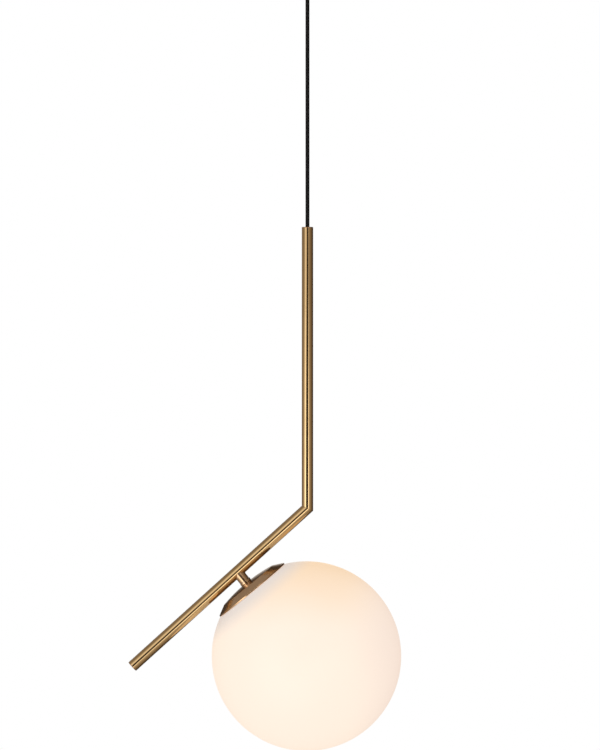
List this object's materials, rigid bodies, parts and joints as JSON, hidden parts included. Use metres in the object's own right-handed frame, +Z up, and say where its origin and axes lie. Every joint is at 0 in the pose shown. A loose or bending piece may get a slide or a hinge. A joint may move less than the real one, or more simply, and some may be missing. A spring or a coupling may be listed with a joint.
{
  "type": "pendant ceiling light",
  "caption": "Pendant ceiling light: brass canopy, taut round flex, brushed brass rod bent into a sloping arm, and an opal glass globe screwed into a dished brass cap under the arm.",
  "frame": {"origin": "centre of the ceiling bracket at the ceiling plane, midway between its two fixing slots", "axes": "+Z up into the ceiling, the lamp hanging below; +X to the right in the front view, away from the arm; +Y to the back"},
  "size_m": [0.2881, 0.2, 0.8511],
  "materials": {
    "brushed_brass": "fine brushed along the tube, satin",
    "plain_brass": "turned, bright",
    "zinc_steel": "zinc plated",
    "nickel": "nickel plated",
    "black_flex": "smooth matt sheath",
    "brown_core": "smooth insulation",
    "blue_core": "smooth insulation",
    "green_yellow_core": "green and yellow insulation",
    "white_nylon": "moulded, satin",
    "ceramic": "glazed ceramic",
    "black_glass": "glossy",
    "opal_glass": "satin opal, lit from inside",
    "silicone": "translucent silicone",
    "board_green": "solder resist",
    "board_white": "white aluminium board",
    "phosphor": "yellow phosphor"
  },
  "bodies": {
    "ceiling_fitting": {"ceiling_bracket": "zinc_steel", "canopy": "brushed_brass", "canopy_screws": "plain_brass", "terminal_block": "white_nylon", "terminal_tubes": "plain_brass", "terminal_screws": "zinc_steel", "block_screws": "zinc_steel", "earth_screw": "plain_brass", "earth_link": "green_yellow_core", "supply_live_core": "brown_core", "supply_neutral_core": "blue_core", "supply_earth_core": "green_yellow_core", "flex_tail": "black_flex", "grip_washer": "zinc_steel", "grip_nut": "plain_brass", "grip_body": "brushed_brass", "grip_collet": "white_nylon", "grip_cap": "brushed_brass"},
    "cord_link": {"flex_top": "black_flex"},
    "cord": {"flex_drop": "black_flex"},
    "pendant": {"stem_cap": "brushed_brass", "flex_anchor": "zinc_steel", "stem": "brushed_brass", "arm": "brushed_brass", "arm_end_plug": "brushed_brass", "post": "brushed_brass", "post_collar": "brushed_brass", "inner_flex": "black_flex", "live_core": "brown_core", "neutral_core": "blue_core", "earth_core": "green_yellow_core", "nipple": "zinc_steel", "globe_cap": "brushed_brass", "cap_washer": "zinc_steel", "cap_nut": "zinc_steel", "holder_cap": "zinc_steel", "holder_core": "ceramic", "holder_body": "white_nylon", "holder_shell": "plain_brass", "holder_clamps": "plain_brass", "holder_screws": "zinc_steel", "contact_spring": "zinc_steel"},
    "contact": {"contact_plunger": "plain_brass"},
    "bulb": {"bulb_contact": "nickel", "bulb_insulator": "black_glass", "bulb_screw_cap": "nickel", "bulb_housing": "white_nylon", "driver_board": "board_green", "led_board": "board_white", "led_chips": "phosphor", "bulb_envelope": "opal_glass"},
    "gasket": {"globe_gasket": "silicone"},
    "globe": {"globe": "opal_glass"}
  },
  "joints": [
    {"name": "swing", "type": "hinge", "parent": "ceiling_fitting", "child": "cord_link", "pos_m": [0, 0, -0.0505], "axis": [0, 1, 0], "range_deg": [-20, 20]},
    {"name": "sway", "type": "hinge", "parent": "cord_link", "child": "cord", "pos_m": [0, 0, -0.0755], "axis": [1, 0, 0], "range_deg": [-20, 20]},
    {"name": "twist", "type": "hinge", "parent": "cord", "child": "pendant", "pos_m": [0, 0, -0.298], "axis": [0, 0, 1], "range_deg": [-180, 180]},
    {"name": "contact_travel", "type": "slide", "parent": "pendant", "child": "contact", "axis": [0.6347, 0, -0.7727], "range_m": [0, 0.00282]},
    {"name": "bulb_turn", "type": "hinge", "parent": "contact", "child": "bulb", "pos_m": [-0.03611, 0, -0.70841], "axis": [0.6347, 0, -0.7727], "range_deg": [0, 360]},
    {"name": "globe_travel", "type": "slide", "parent": "pendant", "child": "gasket", "axis": [0.6347, 0, -0.7727], "range_m": [0, 0.0045]},
    {"name": "globe_turn", "type": "hinge", "parent": "gasket", "child": "globe", "pos_m": [-0.00108, 0, -0.75106], "axis": [0.6347, 0, -0.7727], "range_deg": [0, 540]}
  ],
  "couplings": [
    {"joint": "contact_travel", "follows": "bulb_turn", "m_per_rad": 0.00044882},
    {"joint": "globe_travel", "follows": "globe_turn", "m_per_rad": 0.00047746}
  ]
}
